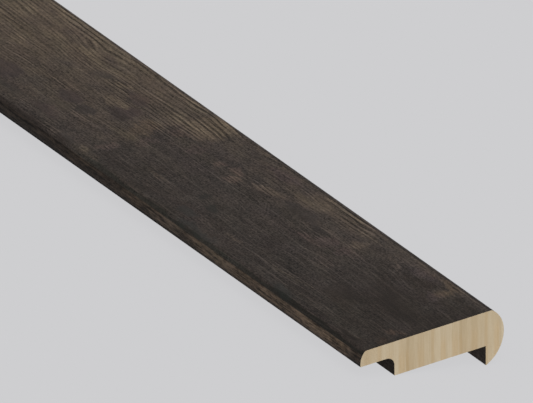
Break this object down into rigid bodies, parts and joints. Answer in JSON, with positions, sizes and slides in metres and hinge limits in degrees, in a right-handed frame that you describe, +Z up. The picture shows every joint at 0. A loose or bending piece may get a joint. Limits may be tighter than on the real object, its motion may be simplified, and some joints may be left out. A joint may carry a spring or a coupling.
{
  "type": "overlapping stair nosing",
  "caption": "Long moulded wooden stair nosing: a rounded front nose that drops over the riser, a flat body and a thin rear lip that laps over the finished floor.",
  "frame": {"origin": "centre of the bounding box on the floor that the piece lies on", "axes": "+X along the length, -Y towards the nose, +Y towards the lip, +Z up. The piece lies as it comes to rest, tipped about X by 11.3 degrees with the lip side down."},
  "size_m": [1.9812, 0.0699, 0.0245],
  "materials": {
    "stained_wood": "dark charcoal-brown stain with a satin top coat on the long faces; sawn ends bare pale wood"
  },
  "bodies": {
    "root": {"stair_nosing": "stained_wood"}
  },
  "joints": []
}
